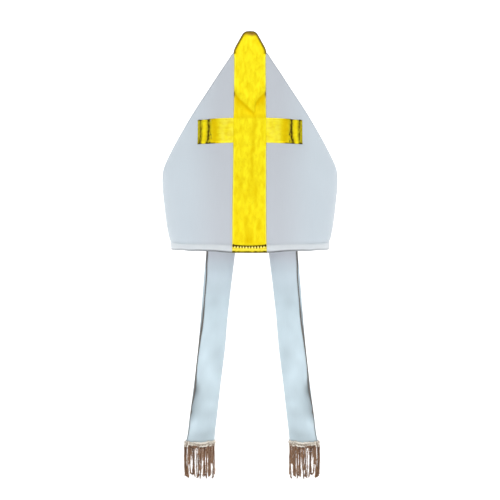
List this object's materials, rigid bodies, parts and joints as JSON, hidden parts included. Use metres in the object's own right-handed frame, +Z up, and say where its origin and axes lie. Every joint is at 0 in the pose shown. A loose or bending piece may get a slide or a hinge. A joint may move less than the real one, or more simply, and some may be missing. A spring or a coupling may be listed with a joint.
{
  "type": "bishop mitre",
  "caption": "Tall pointed bishop mitre with front and back shields, a gold foil cross and fringed lappets behind.",
  "frame": {"origin": "middle of the head opening, in the plane of the hem, where the mitre sits on a head", "axes": "+Z up to the peaks, -Y to the front with the cross, +X to the right as seen from the front"},
  "size_m": [0.2656, 0.1385, 0.7044],
  "materials": {
    "satin": "smooth white satin with a cool cast, soft sheen",
    "foil": "gold foil lame, mirror-like with soft creases",
    "fringe": "twisted brown cord under a cream gimp"
  },
  "bodies": {
    "root": {"front_shield": "satin", "back_shield": "satin", "cross_upright": "foil", "cross_bar": "foil", "lappet_left": "satin", "lappet_right": "satin", "fringe_left": "fringe", "fringe_right": "fringe"}
  },
  "joints": []
}
